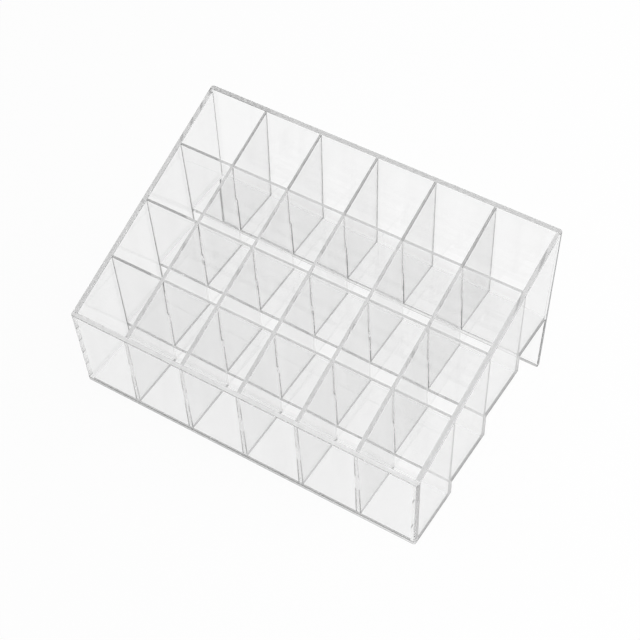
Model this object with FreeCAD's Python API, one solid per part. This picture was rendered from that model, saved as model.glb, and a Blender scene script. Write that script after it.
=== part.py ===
"""Clear stepped stand for lipsticks: rows of open cells that rise to the back behind one sloping rim.

Every wall, divider and floor is a panel of its own. The dividers cross in halving joints, and the other
panels meet edge to face across a thin line of cement. Sizes are in millimetres. X runs along the width,
Y from front to back and Z up, and the origin is on the table at the middle of the rim's plan.
"""

import FreeCAD, Part
import os
from itertools import accumulate

# Outside of the stand, measured at the rim
WIDTH = 145.0
DEPTH = 95.7
FRONT_HEIGHT = 37.0
BACK_HEIGHT = 71.2

# Cells: how many across, and how far each floor stands above the floor in front of it
COLUMNS = 6
FLOOR_RISES = (7.3, 11.1, 8.5)

# Lean of the outer faces: how far each stands in at the table from its place at the rim
SIDE_SETBACK = 2.06
FRONT_SETBACK = 0.41
BACK_SETBACK = 3.23

# Thickness of the panels: the tapered ones at the rim, and at the table under the highest rim
WALL_RIM = 1.8
WALL_FOOT = 2.3
DIVIDER_RIM = 0.9
DIVIDER_FOOT = 2.3
FLOOR_THICKNESS = 1.6

# Joints and edges
CEMENT_LINE = 0.05
CORNER_RADIUS = 1.0
FOOT_RADIUS = 0.4
WALL_EDGE_RADIUS = 0.35
DIVIDER_EDGE_RADIUS = 0.2

# How far a cutting or trimming body runs past what it cuts
OVERRUN = 5.0

# Places worked out from the sizes above
HALF_WIDTH = WIDTH / 2
HALF_DEPTH = DEPTH / 2
ABOVE_RIM = BACK_HEIGHT + OVERRUN
UNDERSIDES = list(accumulate(FLOOR_RISES, initial=0))
FLOOR_TOPS = [level + FLOOR_THICKNESS for level in UNDERSIDES]
ROWS = len(UNDERSIDES)
COLUMN_PITCH = (WIDTH - 2 * WALL_RIM + DIVIDER_RIM) / COLUMNS
ROW_PITCH = (DEPTH - 2 * WALL_RIM + DIVIDER_RIM) / ROWS
COLUMN_CENTRES = [(place + 1 - COLUMNS / 2) * COLUMN_PITCH for place in range(COLUMNS - 1)]
ROW_CENTRES = [(place + 1 - ROWS / 2) * ROW_PITCH for place in range(ROWS - 1)]

# What the rim climbs, a face leans and a panel thickens for each millimetre along or down
RIM_SLOPE = (BACK_HEIGHT - FRONT_HEIGHT) / DEPTH
SIDE_LEAN = SIDE_SETBACK / BACK_HEIGHT
FRONT_LEAN = FRONT_SETBACK / FRONT_HEIGHT
BACK_LEAN = BACK_SETBACK / BACK_HEIGHT
WALL_TAPER = (WALL_FOOT - WALL_RIM) / BACK_HEIGHT
DIVIDER_TAPER = (DIVIDER_FOOT - DIVIDER_RIM) / BACK_HEIGHT

# A point nearer to a face than this lies on it
TOUCHING = CEMENT_LINE / 2


def rim_height(y):
    """Height of the sloping rim plane at a distance y from the middle."""
    return FRONT_HEIGHT + RIM_SLOPE * (y + HALF_DEPTH)


def wall_thickness(drop):
    """Thickness of an outer wall at a drop below its rim."""
    return WALL_RIM + WALL_TAPER * drop


def divider_thickness(drop):
    """Thickness of a divider at a drop below its rim."""
    return DIVIDER_RIM + DIVIDER_TAPER * drop


def side_outer(z):
    """Distance of an end panel's outer face from the middle, at height z."""
    return HALF_WIDTH - SIDE_LEAN * (BACK_HEIGHT - z)


def side_inner(z):
    """Distance of an end panel's inner face from the middle, at height z."""
    return side_outer(z) - wall_thickness(BACK_HEIGHT - z)


def front_outer(z):
    """Place of the front panel's outer face at height z."""
    return -HALF_DEPTH + FRONT_LEAN * (FRONT_HEIGHT - z)


def front_inner(z):
    """Place of the front panel's inner face at height z."""
    return front_outer(z) + wall_thickness(FRONT_HEIGHT - z)


def back_outer(z):
    """Place of the back panel's outer face at height z."""
    return HALF_DEPTH - BACK_LEAN * (BACK_HEIGHT - z)


def back_inner(z):
    """Place of the back panel's inner face at height z."""
    return back_outer(z) - wall_thickness(BACK_HEIGHT - z)


def row_half(row, z):
    """Half the thickness of a row divider at height z."""
    return divider_thickness(rim_height(ROW_CENTRES[row]) - z) / 2


def row_front(row, z):
    """Place of a row divider's front face at height z."""
    return ROW_CENTRES[row] - row_half(row, z)


def row_back(row, z):
    """Place of a row divider's back face at height z."""
    return ROW_CENTRES[row] + row_half(row, z)


def column_half(z):
    """Half the thickness of a column divider at height z."""
    return divider_thickness(BACK_HEIGHT - z) / 2


def cell_front(row, z):
    """Place of the face in front of a row of cells, at height z."""
    return front_inner(z) if row == 0 else row_back(row - 1, z)


def cell_back(row, z):
    """Place of the face behind a row of cells, at height z."""
    return back_inner(z) if row == ROWS - 1 else row_front(row, z)


def halving_level(row):
    """Height at which the dividers that cross at a row divider change places."""
    return (FLOOR_TOPS[row + 1] + rim_height(ROW_CENTRES[row])) / 2


def along_width(outline, reach):
    """Prism with its outline in Y and Z, which reaches as far to the left as to the right."""
    points = [FreeCAD.Vector(-reach, y, z) for y, z in outline]
    face = Part.Face(Part.makePolygon(points + points[:1]))
    return face.extrude(FreeCAD.Vector(2 * reach, 0, 0))


def along_depth(outline, reach):
    """Prism with its outline in X and Z, which reaches as far to the front as to the back."""
    points = [FreeCAD.Vector(x, -reach, z) for x, z in outline]
    face = Part.Face(Part.makePolygon(points + points[:1]))
    return face.extrude(FreeCAD.Vector(0, 2 * reach, 0))


def between(one, other, bottom, top):
    """Four-sided outline between two leaning faces, from one height to another."""
    return [(one(bottom), bottom), (other(bottom), bottom), (other(top), top), (one(top), top)]


def under_rim():
    """Body that holds all below the rim plane, used to trim the tops of the panels."""
    front, back = -HALF_DEPTH - OVERRUN, HALF_DEPTH + OVERRUN
    outline = [(front, -OVERRUN), (back, -OVERRUN), (back, rim_height(back)), (front, rim_height(front))]
    return along_width(outline, HALF_WIDTH + OVERRUN)


def within_ends(reach):
    """Body as wide to each side as reach says for a height, used to trim the ends of the panels."""
    return along_depth(between(lambda z: -reach(z), reach, 0, ABOVE_RIM), HALF_DEPTH + OVERRUN)


def short_of_ends(z):
    """Distance from the middle to the cement on an end panel's inner face, at height z."""
    return side_inner(z) - CEMENT_LINE


def front_to_back(foot):
    """Body from front panel to back panel, short of both by the cement, with a stepped foot outline."""
    first, last = foot[0][1], foot[-1][1]
    outline = [(front_inner(first) + CEMENT_LINE, first)] + foot[1:-1]
    outline += [(back_inner(last) - CEMENT_LINE, last), (back_inner(ABOVE_RIM) - CEMENT_LINE, ABOVE_RIM)]
    outline += [(front_inner(ABOVE_RIM) + CEMENT_LINE, ABOVE_RIM)]
    return along_width(outline, HALF_WIDTH + OVERRUN)


def lies_on(edge, distance):
    """True if both ends of an edge lie on a face, given by a point's distance from it."""
    return all(abs(distance(vertex.Point)) < TOUCHING for vertex in edge.Vertexes)


def on_rim(edge):
    """True for an edge in the rim plane."""
    return lies_on(edge, lambda point: point.z - rim_height(point.y))


def on_table(edge):
    """True for an edge at the height of the table."""
    return lies_on(edge, lambda point: point.z)


def on_wall_face(edge, face):
    """True for an edge on a face of the front or back panel, given by its place at height z."""
    return lies_on(edge, lambda point: point.y - face(point.z))


def on_end_face(edge):
    """True for an edge on the outer face of an end panel."""
    return lies_on(edge, lambda point: abs(point.x) - side_outer(point.z))


def is_upright(edge):
    """True for an edge that climbs more than it runs along the width."""
    return edge.BoundBox.ZLength > edge.BoundBox.XLength


def rim_along_width(edge):
    """True for an edge of the rim that runs from left to right."""
    return on_rim(edge) and edge.BoundBox.XLength > edge.BoundBox.YLength


def rim_along_depth(edge):
    """True for an edge of the rim that runs from front to back."""
    return on_rim(edge) and edge.BoundBox.YLength > edge.BoundBox.XLength


def soften(solid, radius, chosen):
    """Rounds the edges of a panel for which the test holds, and what goes on smoothly from them."""
    return solid.makeFillet(radius, [edge for edge in solid.Edges if chosen(edge)])


def full_width_wall(outer, inner):
    """Wall over the full width, with its outer corners, its foot and its rim rounded."""
    wall = along_width(between(outer, inner, 0, ABOVE_RIM), HALF_WIDTH + OVERRUN)
    solid = wall.common(under_rim()).common(within_ends(side_outer))
    solid = soften(solid, CORNER_RADIUS, lambda edge: on_wall_face(edge, outer) and is_upright(edge))
    solid = soften(solid, FOOT_RADIUS, lambda edge: on_wall_face(edge, outer) and on_table(edge))
    return soften(solid, WALL_EDGE_RADIUS, rim_along_width)


def front_panel():
    """Low front wall."""
    return full_width_wall(front_outer, front_inner)


def back_panel():
    """Tall back wall, whose foot is the stand's back leg."""
    return full_width_wall(back_outer, back_inner)


def end_panel(side):
    """End wall with a sloping rim and a foot that climbs with the floors; side is -1 on the left."""
    outline = between(lambda z: side * side_inner(z), lambda z: side * side_outer(z), 0, ABOVE_RIM)
    wall = along_depth(outline, HALF_DEPTH + OVERRUN)
    foot = [(-HALF_DEPTH, UNDERSIDES[0])]
    for row in range(ROWS - 1):
        foot += [(row_back(row, UNDERSIDES[row]), UNDERSIDES[row])]
        foot += [(row_back(row, UNDERSIDES[row + 1]), UNDERSIDES[row + 1])]
    foot += [(HALF_DEPTH, UNDERSIDES[-1])]
    solid = wall.common(front_to_back(foot)).common(under_rim())
    solid = soften(solid, FOOT_RADIUS, lambda edge: on_end_face(edge) and on_table(edge))
    return soften(solid, WALL_EDGE_RADIUS, rim_along_depth)


def column_body(centre, spare, bottom, top):
    """Tapered body of a column divider with spare room on each face, over all the depth."""
    outline = between(lambda z: centre - column_half(z) - spare,
                      lambda z: centre + column_half(z) + spare, bottom, top)
    return along_depth(outline, HALF_DEPTH + OVERRUN)


def row_body(row, spare, bottom, top):
    """Tapered body of a row divider with spare room on each face, over all the width."""
    outline = between(lambda z: row_front(row, z) - spare, lambda z: row_back(row, z) + spare, bottom, top)
    return along_width(outline, HALF_WIDTH + OVERRUN)


def row_divider(row):
    """Wall across the width with slots from above; its foot is the riser to the next floor."""
    plate = row_body(row, 0, UNDERSIDES[row], ABOVE_RIM)
    solid = plate.common(under_rim()).common(within_ends(short_of_ends))
    solid = soften(solid, DIVIDER_EDGE_RADIUS, rim_along_width)
    slot_foot = halving_level(row) - CEMENT_LINE / 2
    for centre in COLUMN_CENTRES:
        solid = solid.cut(column_body(centre, CEMENT_LINE, slot_foot, ABOVE_RIM))
    return solid


def column_divider(place):
    """Wall from front to back with slots from below, whose foot climbs over the floors."""
    foot = [(-HALF_DEPTH, FLOOR_TOPS[0] + CEMENT_LINE)]
    for row, centre in enumerate(ROW_CENTRES):
        foot += [(centre, FLOOR_TOPS[row] + CEMENT_LINE), (centre, FLOOR_TOPS[row + 1] + CEMENT_LINE)]
    foot += [(HALF_DEPTH, FLOOR_TOPS[-1] + CEMENT_LINE)]
    plate = column_body(COLUMN_CENTRES[place], 0, 0, ABOVE_RIM)
    solid = plate.common(front_to_back(foot)).common(under_rim())
    solid = soften(solid, DIVIDER_EDGE_RADIUS, rim_along_depth)
    for row in range(ROWS - 1):
        slot_head = halving_level(row) + CEMENT_LINE / 2
        solid = solid.cut(row_body(row, CEMENT_LINE, -OVERRUN, slot_head))
    return solid


def row_floor(row):
    """Floor of one row, between the wall or riser in front of it and the one behind."""
    outline = between(lambda z: cell_front(row, z) + CEMENT_LINE, lambda z: cell_back(row, z) - CEMENT_LINE,
                      UNDERSIDES[row], FLOOR_TOPS[row])
    return along_width(outline, HALF_WIDTH + OVERRUN).common(within_ends(short_of_ends))


def pieces():
    """All the panels by name."""
    made = {
        "front_panel": front_panel(),
        "back_panel": back_panel(),
        "left_end_panel": end_panel(-1),
        "right_end_panel": end_panel(1),
    }
    for row in range(ROWS - 1):
        made[f"row_divider_{row + 1}"] = row_divider(row)
    for place in range(COLUMNS - 1):
        made[f"column_divider_{place + 1}"] = column_divider(place)
    for row in range(ROWS):
        made[f"row_floor_{row + 1}"] = row_floor(row)
    return made


os.makedirs("parts", exist_ok=True)
for name, shape in pieces().items():
    box = shape.BoundBox
    print(f"{name}: {len(shape.Solids)} solid, {shape.Volume / 1000:.2f} cm3, valid {shape.isValid()},"
          f" {box.XLength:.2f} x {box.YLength:.2f} x {box.ZLength:.2f} mm")
    shape.exportStep(f"parts/{name}.step")
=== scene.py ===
"""Looks of the clear stepped lipstick stand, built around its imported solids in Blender.

The stand's panels stay as packed and get clear polished plastic in six finishes: front, ends, back, column
dividers, row dividers and floors. The script adds the table top, the studio light and the camera of the
photograph. All lengths are in metres, in the frame of the solids.
"""

import logging
import math
from dataclasses import dataclass, field
from enum import Enum
from typing import Union

import bpy
from mathutils import Matrix, Vector


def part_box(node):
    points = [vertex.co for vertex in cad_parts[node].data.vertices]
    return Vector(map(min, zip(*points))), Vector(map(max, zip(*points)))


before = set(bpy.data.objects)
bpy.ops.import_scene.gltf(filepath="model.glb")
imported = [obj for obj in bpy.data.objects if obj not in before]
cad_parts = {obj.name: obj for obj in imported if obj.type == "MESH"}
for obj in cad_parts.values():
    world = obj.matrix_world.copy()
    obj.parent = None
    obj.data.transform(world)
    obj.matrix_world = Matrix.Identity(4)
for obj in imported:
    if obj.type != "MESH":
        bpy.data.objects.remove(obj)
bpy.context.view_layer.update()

LOG = logging.getLogger("lipstick_stand")
IMAGE_SIDE = 640
SENSOR_WIDTH = 36.0
WHITE = (1.0, 1.0, 1.0, 1.0)
RIM_FACING = (0.0, -0.3364, 0.9417)
RIM_LIKENESS = (0.955, 0.985)
FOOT_LIKENESS = 0.98
END_LIKENESS = 0.97
ACROSS = (1.0, 0.0, 0.0)
ALONG = (0.0, 1.0, 0.0)
PIN_SHARES = (0.5, -0.25)

Number = Union[int, float]
Colour = tuple[float, float, float, float]
Point = tuple[float, float, float]


def grey(level: float) -> Colour:
    """Neutral colour of one level of light, from 0 to 1, with full alpha."""
    return (level, level, level, 1.0)


class Panel(Enum):
    """Kinds of panel, each with the words that its nodes' names hold."""

    FRONT = "front_panel"
    END = "end_panel"
    BACK = "back_panel"
    COLUMN_DIVIDER = "column_divider"
    ROW_DIVIDER = "row_divider"
    FLOOR = "row_floor"

    @classmethod
    def of(cls, node: str) -> "Panel":
        """The kind of panel whose words are in a node's name."""
        return next(kind for kind in cls if kind.value in node)


class Sock:
    """A shader value: an output socket whose operators add Math nodes."""

    def __init__(self, tree: bpy.types.NodeTree, socket: bpy.types.NodeSocket) -> None:
        """Keeps the tree and the output socket that holds the value."""
        self.tree = tree
        self.socket = socket

    def math(self, operation: str, *values: "Sock | Number", swap: bool = False) -> "Sock":
        """Adds one Math node.

        Args:
            operation: The Math node's operation.
            values: Further operands after this one.
            swap: True puts this value last.

        Returns:
            The node's result.
        """
        operands = [self, *values]
        if swap:
            operands.reverse()
        made = self.tree.nodes.new("ShaderNodeMath")
        made.operation = operation
        for place, value in enumerate(operands):
            if isinstance(value, Sock):
                self.tree.links.new(value.socket, made.inputs[place])
            else:
                made.inputs[place].default_value = value
        return Sock(self.tree, made.outputs[0])

    def __add__(self, other: "Sock | Number") -> "Sock":
        """Sum of two values."""
        return self.math("ADD", other)

    def __radd__(self, other: Number) -> "Sock":
        """Sum with a number on the left."""
        return self.math("ADD", other, swap=True)

    def __sub__(self, other: "Sock | Number") -> "Sock":
        """Difference of two values."""
        return self.math("SUBTRACT", other)

    def __rsub__(self, other: Number) -> "Sock":
        """Difference from a number on the left."""
        return self.math("SUBTRACT", other, swap=True)

    def __mul__(self, other: "Sock | Number") -> "Sock":
        """Product of two values."""
        return self.math("MULTIPLY", other)

    def __rmul__(self, other: Number) -> "Sock":
        """Product with a number on the left."""
        return self.math("MULTIPLY", other, swap=True)

    def larger(self, other: "Sock | Number") -> "Sock":
        """The larger of two values."""
        return self.math("MAXIMUM", other)

    def size(self) -> "Sock":
        """The value without its sign."""
        return self.math("ABSOLUTE")

    def above(self, limit: Number) -> "Sock":
        """1 where the value is over a limit, 0 elsewhere."""
        return self.math("GREATER_THAN", limit)

    def around(self, centre: Number, pitch: Number) -> "Sock":
        """Distance from the nearest of a row of centres, which stand a pitch apart."""
        return (self - centre).math("WRAP", pitch / 2, -pitch / 2)


class Shader:
    """A material's or world's node tree, emptied, with one method for any node."""

    def __init__(self, tree: bpy.types.NodeTree) -> None:
        """Keeps the node tree and empties it."""
        self.tree = tree
        tree.nodes.clear()

    def node(
        self, kind: str, settings: dict | None = None, *values: object, **inputs: object
    ) -> bpy.types.Node:
        """Adds a node.

        Args:
            kind: Node type without its ShaderNode prefix.
            settings: The node's own settings, set first.
            values: Values or links of the first sockets, in their order.
            inputs: Values or links by socket name, with _ for a space.

        Returns:
            The new node.
        """
        made = self.tree.nodes.new("ShaderNode" + kind)
        for name, value in (settings or {}).items():
            setattr(made, name, value)
        named = {name.replace("_", " "): value for name, value in inputs.items()}
        for place, value in [*enumerate(values), *named.items()]:
            socket = made.inputs[place]
            if isinstance(value, Sock):
                self.tree.links.new(value.socket, socket)
            elif isinstance(value, bpy.types.NodeSocket):
                self.tree.links.new(value, socket)
            else:
                socket.default_value = value
        return made

    def value(self, made: bpy.types.Node, output: str | int = 0) -> Sock:
        """One output of a node, by name or number, as a value."""
        return Sock(self.tree, made.outputs[output])

    def noise(self, place: bpy.types.NodeSocket, scale: float, detail: float) -> Sock:
        """Noise over a surface, of a scale per metre and a number of finer layers."""
        return self.value(self.node("TexNoise", Vector=place, Scale=scale, Detail=detail))

    def blend(self, share: Sock, first: bpy.types.Node, second: bpy.types.Node) -> bpy.types.Node:
        """Mixes two shaders, with the given share of the second."""
        return self.node("MixShader", None, share, first.outputs[0], second.outputs[0])


@dataclass(frozen=True)
class PinRings:
    """Faint round marks that the pins of a mould leave, one in each cell."""

    centre: tuple[float, float]
    pitch: tuple[float, float]
    radius: float = 0.0017
    line: float = 0.0002
    depth: float = 0.00002

    def height(self, shader: Shader, place: bpy.types.NodeSocket) -> Sock:
        """Works out the marks' relief.

        Args:
            shader: Tree to add the nodes to.
            place: Point on the surface.

        Returns:
            Height of the surface, below zero in a mark.
        """
        axes = shader.node("SeparateXYZ", Vector=place)
        across = shader.value(axes, "X").around(self.centre[0], self.pitch[0])
        along = shader.value(axes, "Y").around(self.centre[1], self.pitch[1])
        reach = (across * across + along * along).math("SQRT")
        groove = (1 - (reach - self.radius).size() * (1 / self.line)).larger(0.0)
        return groove * -self.depth


@dataclass(frozen=True)
class EndFaces:
    """Faces at a panel's ends or slots that look one way, near places that stand a pitch apart.

    The reach on both sides of a place is taken at the foot, and a taper makes it less with height.
    """

    facing: Point
    axis: str
    first: float
    pitch: float
    reach: float
    taper: float = 0.0

    def cover(self, shader: Shader, place: bpy.types.NodeSocket) -> Sock:
        """Finds these faces.

        Args:
            shader: Tree to add the nodes to.
            place: Point on the surface.

        Returns:
            1 on the faces within their reach, 0 elsewhere.
        """
        normal = shader.node("NewGeometry").outputs["True Normal"]
        likeness = shader.node("VectorMath", {"operation": "DOT_PRODUCT"}, normal, self.facing)
        turned = shader.value(likeness, "Value").size().above(END_LIKENESS)
        axes = shader.node("SeparateXYZ", Vector=place)
        aside = shader.value(axes, self.axis).around(self.first, self.pitch).size()
        past = (aside + shader.value(axes, "Z") * self.taper).above(self.reach)
        return turned * (1 - past)


@dataclass(frozen=True)
class ClearPlastic:
    """Polished clear plastic with faint flow marks, painted grey rims and, on a foot, a painted face and
    dark line.

    Light goes straight on through cemented faces, and end faces get a painted grey shade. The tint colours
    what is seen through the panel (darker on some panels as painted shade), and the shade what light it
    lets through to the table.
    """

    name: str
    tint_with_painted_shade: float
    shade: float
    bend: float = 1.49
    stretch: Point = (1.0, 1.0, 0.12)
    flow_scale: float = 160.0
    flow_detail: float = 2.0
    flow_height: float = 0.000004
    mottle: float = 0.04
    haze: float = 0.04
    haze_scale: float = 45.0
    haze_detail: float = 4.0
    depth_grey: float = 0.5
    depth_density: float = 4.0
    # Grey painted on the rims and foot as painted shade; nearly white on the front, as painted light.
    painted_edge_grey: float = 0.8
    edge_share: float = 0.0
    edge_roughness: float = 0.3
    ripple_scale: float = 300.0
    ripple_detail: float = 1.0
    ripple_height: float = 0.0003
    ripple_gap: float = 0.3
    # Painted foot: the bottom face takes the painted matt look as painted light, with a painted dark line
    # just above it as shade.
    painted_foot_share: float = 0.0
    painted_line_grey: float = 0.3
    line_height: float = 0.0006
    line_share: float = 0.8
    cemented: EndFaces | None = None
    # End faces painted grey as painted shade, standing in for the dark lines at the corners.
    painted_shade_ends: EndFaces | None = None
    painted_end_grey: float = 0.3
    painted_end_share: float = 0.6
    rings: PinRings | None = None

    def make(self) -> bpy.types.Material:
        """Builds the material, which lamplight crosses as a lightly shaded clear sheet.

        Returns:
            The new material.
        """
        made = bpy.data.materials.new(self.name)
        made.use_nodes = True
        shader = Shader(made.node_tree)
        place = shader.node("TexCoord").outputs["Object"]
        # Rims and a foot get the painted matt look.
        share, painted_look = self.painted_rim_and_foot(shader, place)
        seen = shader.blend(share, self.polished(shader, place), painted_look)
        if self.cemented:
            cement = shader.node("BsdfTransparent", Color=WHITE)
            seen = shader.blend(self.cemented.cover(shader, place), seen, cement)
        # Painted shade: a matt grey mixed over the end faces.
        if self.painted_shade_ends:
            matt = shader.node(
                "BsdfPrincipled", Base_Color=grey(self.painted_end_grey), Roughness=self.edge_roughness,
            )
            seen = shader.blend(self.painted_shade_ends.cover(shader, place) * self.painted_end_share, seen, matt)
        path = shader.node("LightPath")
        lamplight = shader.value(path, "Is Shadow Ray").larger(shader.value(path, "Is Diffuse Ray"))
        clear = shader.node("BsdfTransparent", Color=grey(self.shade))
        surface = shader.blend(lamplight, seen, clear)
        depth = shader.node("VolumeAbsorption", Color=grey(self.depth_grey), Density=self.depth_density)
        shader.node("OutputMaterial", Surface=surface.outputs[0], Volume=depth.outputs[0])
        return made

    def polished(self, shader: Shader, place: bpy.types.NodeSocket) -> bpy.types.Node:
        """Adds the clear body with its flow marks, haze and mottled tint; a darker tint on some panels is
        painted shade.

        Args:
            shader: Tree to add the nodes to.
            place: Point on the surface.

        Returns:
            The clear shader.
        """
        drawn = shader.node("Mapping", Vector=place, Scale=self.stretch).outputs[0]
        flow = shader.noise(drawn, self.flow_scale, self.flow_detail)
        relief = flow * self.flow_height
        if self.rings:
            relief = relief + self.rings.height(shader, place)
        bump = shader.node("Bump", Height=relief, Distance=1.0)
        mist = shader.noise(place, self.haze_scale, self.haze_detail)
        dark, pale = grey(self.tint_with_painted_shade - self.mottle), grey(self.tint_with_painted_shade + self.mottle)
        tint_with_painted_shade = shader.node("MixRGB", None, flow, dark, pale)
        return shader.node(
            "BsdfPrincipled", Base_Color=tint_with_painted_shade.outputs[0], Roughness=mist * mist * self.haze,
            IOR=self.bend, Transmission_Weight=1.0, Normal=bump.outputs["Normal"],
        )

    def painted_rim_and_foot(self, shader: Shader, place: bpy.types.NodeSocket) -> tuple[Sock, bpy.types.Node]:
        """Adds the rim's painted grey, a foot's painted face and the painted dark line round it, as
        painted shade and light.

        Args:
            shader: Tree to add the nodes to.
            place: Point on the surface.

        Returns:
            The share of the painted matt look, and its shader.
        """
        facing = shader.node("NewGeometry").outputs["True Normal"]
        likeness = shader.node("VectorMath", {"operation": "DOT_PRODUCT"}, facing, RIM_FACING)
        slanted = shader.value(likeness, "Value").size()
        rim = shader.value(shader.node("MapRange", None, slanted, *RIM_LIKENESS))
        # Painted light on the foot face and painted shade on the low line above it.
        foot = shader.value(shader.node("SeparateXYZ", Vector=facing), "Z").size().above(FOOT_LIKENESS)
        low = 1 - shader.value(shader.node("SeparateXYZ", Vector=place), "Z").above(self.line_height)
        line = low * (1 - foot)
        share = (rim * self.edge_share).larger((foot + line * self.line_share) * self.painted_foot_share)
        tone = shader.node("MixRGB", None, line, grey(self.painted_edge_grey), grey(self.painted_line_grey))
        ripple = shader.noise(place, self.ripple_scale, self.ripple_detail)
        bump = shader.node("Bump", Height=ripple * self.ripple_height, Distance=1.0)
        painted_look = shader.node(
            "BsdfPrincipled", Base_Color=tone.outputs[0], Roughness=self.edge_roughness,
            Normal=bump.outputs["Normal"],
        )
        return share * (1 - ripple * self.ripple_gap), painted_look


@dataclass
class PhotoCamera:
    """Camera of the photograph, from a fit to the stand's corners."""

    eye: Point = (0.2187, -0.30715, 0.4833)
    azimuth: float = 35.04
    elevation: float = 50.37
    roll: float = -3.44
    focal_pixels: float = 1644.0

    def build(self) -> bpy.types.Object:
        """Adds the camera and makes it the scene's own.

        Returns:
            The camera object.
        """
        turn, tilt, roll = (math.radians(angle) for angle in (self.azimuth, self.elevation, self.roll))
        flat = math.cos(tilt)
        ahead = Vector((-math.sin(turn) * flat, math.cos(turn) * flat, -math.sin(tilt)))
        level = ahead.cross(Vector((0.0, 0.0, 1.0))).normalized()
        upright = level.cross(ahead)
        right = level * math.cos(roll) + upright * math.sin(roll)
        up = upright * math.cos(roll) - level * math.sin(roll)
        data = bpy.data.cameras.new("photo_camera")
        data.sensor_width = SENSOR_WIDTH
        data.lens = self.focal_pixels / IMAGE_SIDE * SENSOR_WIDTH
        camera = bpy.data.objects.new("photo_camera", data)
        turned = Matrix((right, up, -ahead)).transposed().to_4x4()
        camera.matrix_world = Matrix.Translation(self.eye) @ turned
        bpy.context.scene.collection.objects.link(camera)
        bpy.context.scene.camera = camera
        return camera


@dataclass(frozen=True)
class Softbox:
    """A square lamp that faces the stand and isn't seen in reflections or through the plastic."""

    name: str
    place: Point
    side: float
    power: float

    def build(self) -> None:
        """Adds the lamp."""
        data = bpy.data.lights.new(self.name, "AREA")
        data.energy = self.power
        data.size = self.side
        lamp = bpy.data.objects.new(self.name, data)
        lamp.location = self.place
        lamp.rotation_euler = (-Vector(self.place)).to_track_quat("-Z", "Y").to_euler()
        lamp.visible_glossy = False
        lamp.visible_transmission = False
        bpy.context.scene.collection.objects.link(lamp)


@dataclass
class Studio:
    """White table top, a pale sky over a darker horizon, and a softbox at the back right.

    The table top shines white by itself in two shares, one straight to the camera and one by way of the
    plastic. The rest of it takes the light and the shadow.
    """

    floor_reach: float = 3.0
    floor_drop: float = 0.0003
    floor_colour: Colour = grey(0.95)
    straight_share: float = 0.92
    bent_share: float = 0.86
    horizon: float = 0.14
    zenith: float = 0.62
    key: Softbox = Softbox("key_softbox", (0.85, 0.35, 0.75), 1.0, 12.0)
    bounces: int = 48

    def build(self) -> None:
        """Adds the floor, the world and the lamp."""
        self.build_floor()
        self.build_world()
        self.key.build()
        self.let_light_through()

    def build_floor(self) -> None:
        """Adds the table top, which shows nearly white and keeps the stand's shadow."""
        bpy.ops.object.select_all(action="DESELECT")
        place = (0.0, 0.0, -self.floor_drop)
        bpy.ops.mesh.primitive_plane_add(size=2 * self.floor_reach, location=place)
        floor = bpy.context.object
        floor.name = "studio_floor"
        made = bpy.data.materials.new("studio_white")
        made.use_nodes = True
        shader = Shader(made.node_tree)
        path = shader.node("LightPath")
        straight = shader.value(path, "Is Camera Ray") * self.straight_share
        mirrored = shader.value(path, "Is Glossy Ray")
        bent = mirrored.larger(shader.value(path, "Is Transmission Ray")) * self.bent_share
        plain = shader.node("BsdfDiffuse", Color=self.floor_colour)
        white = shader.node("Emission", Color=WHITE, Strength=1.0)
        surface = shader.blend(straight.larger(bent), plain, white)
        shader.node("OutputMaterial", Surface=surface.outputs[0])
        floor.data.materials.append(made)

    def build_world(self) -> None:
        """Sets a pale sky that darkens to the horizon, which draws the panels' edges."""
        world = bpy.data.worlds.new("studio_world")
        bpy.context.scene.world = world
        world.use_nodes = True
        shader = Shader(world.node_tree)
        way = shader.node("TexCoord").outputs["Generated"]
        height = shader.value(shader.node("SeparateXYZ", Vector=way), "Z").larger(0.0)
        glow = height * (self.zenith - self.horizon) + self.horizon
        back = shader.node("Background", Color=WHITE, Strength=glow)
        shader.node("OutputWorld", Surface=back.outputs[0])

    def let_light_through(self) -> None:
        """Gives light enough turns to leave the panels again."""
        light = bpy.context.scene.cycles
        light.max_bounces = self.bounces
        light.glossy_bounces = self.bounces
        light.transmission_bounces = self.bounces
        light.transparent_max_bounces = self.bounces


def middle(node: str) -> Vector:
    """The middle point of a node's box."""
    low, high = (Vector(corner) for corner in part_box(node))
    return (low + high) / 2


def column_spacing() -> tuple[float, float]:
    """Place of the first column divider, and the distance to the next."""
    first, second = (middle(f"column_divider_{place}").x for place in (1, 2))
    return first, second - first


def row_spacing() -> tuple[float, float]:
    """Place of the first row divider, and the distance to the next."""
    first, second = (middle(f"row_divider_{place}").y for place in (1, 2))
    return first, second - first


def end_spacing() -> tuple[float, float]:
    """Place of an end panel's front end, and the distance to its back end."""
    low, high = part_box("left_end_panel")
    return low[1], high[1] - low[1]


def side_spacing(node: str) -> tuple[float, float]:
    """Place of a panel's left end, and the distance to its right end."""
    low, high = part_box(node)
    return low[0], high[0] - low[0]


def back_spacing() -> tuple[float, float]:
    """Place of the column dividers' back ends, and a distance with no other end in it."""
    low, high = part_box("column_divider_1")
    return high[1], 2 * (high[1] - low[1])


def cell_rings() -> PinRings:
    """Sets a pin mark behind the middle of each cell's floor.

    Returns:
        The marks, at the pitch of the cells.
    """
    pitch = (column_spacing()[1], row_spacing()[1])
    first = (column_spacing()[0], row_spacing()[0])
    across, along = (start + step * share for start, step, share in zip(first, pitch, PIN_SHARES))
    return PinRings(centre=(across, along), pitch=pitch)


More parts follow.
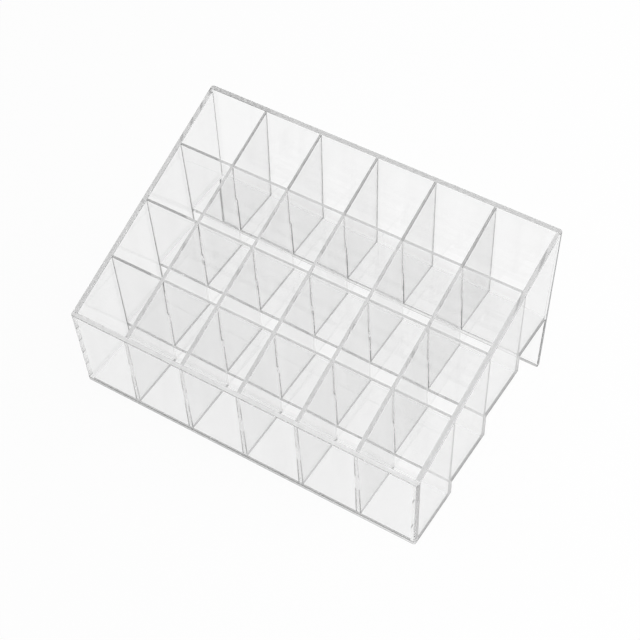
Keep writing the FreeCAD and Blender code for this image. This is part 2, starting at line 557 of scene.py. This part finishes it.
@dataclass
class Stand:
    """The stand's packed panels and their finishes."""

    finishes: dict[Panel, ClearPlastic] = field(default_factory=lambda: {
        # Front rim and foot are painted nearly white as painted light.
        Panel.FRONT: ClearPlastic(
            "front_plastic", tint_with_painted_shade=0.96, shade=0.985, painted_edge_grey=0.98, edge_share=1.0, ripple_gap=0.15,
            painted_foot_share=1.0, flow_height=0.0000015,
            painted_shade_ends=EndFaces(ACROSS, "X", *side_spacing("front_panel"), reach=0.006)),
        # Ends and column dividers: a darker tint as painted shade for their grey look at a slant.
        Panel.END: ClearPlastic(
            "end_plastic", tint_with_painted_shade=0.93, shade=0.99, painted_edge_grey=0.72, edge_share=0.8,
            cemented=EndFaces(ALONG, "Y", *end_spacing(), reach=0.005)),
        Panel.BACK: ClearPlastic(
            "back_plastic", tint_with_painted_shade=0.97, shade=0.99, mottle=0.03, painted_edge_grey=0.68, edge_share=0.8,
            painted_shade_ends=EndFaces(ACROSS, "X", *side_spacing("back_panel"), reach=0.006), painted_end_grey=0.25),
        # Darker tint as painted shade for the grey faces of the column dividers.
        Panel.COLUMN_DIVIDER: ClearPlastic(
            "column_plastic", tint_with_painted_shade=0.91, shade=0.88, painted_edge_grey=0.74, edge_share=0.75,
            cemented=EndFaces(ALONG, "X", *column_spacing(), reach=0.0006, taper=0.006),
            painted_shade_ends=EndFaces(ALONG, "Y", *back_spacing(), reach=0.006)),
        Panel.ROW_DIVIDER: ClearPlastic(
            "row_plastic", tint_with_painted_shade=0.96, shade=0.96, painted_edge_grey=0.6, edge_share=0.8,
            cemented=EndFaces(ACROSS, "Y", *row_spacing(), reach=0.0002),
            painted_shade_ends=EndFaces(ACROSS, "X", *side_spacing("row_divider_3"), reach=0.006),
            painted_end_grey=0.25, painted_end_share=0.85),
        Panel.FLOOR: ClearPlastic(
            "floor_plastic", tint_with_painted_shade=0.98, shade=0.995, mottle=0.02, stretch=(1.0, 1.0, 1.0),
            rings=cell_rings()),
    })

    def dress(self) -> None:
        """Gives each panel the finish of its kind."""
        materials = {kind: finish.make() for kind, finish in self.finishes.items()}
        for name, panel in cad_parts.items():
            material = materials[Panel.of(name)]
            panel.data.materials.clear()
            panel.data.materials.append(material)
            LOG.info("%s is %s", name, material.name)


def main() -> None:
    """Builds the stand's looks, the studio and the camera, and logs each panel's finish."""
    logging.basicConfig(level=logging.INFO, format="%(name)s: %(message)s")
    bpy.context.scene.view_settings.view_transform = "Standard"
    Stand().dress()
    Studio().build()
    PhotoCamera().build()


if __name__ == "__main__":
    main()
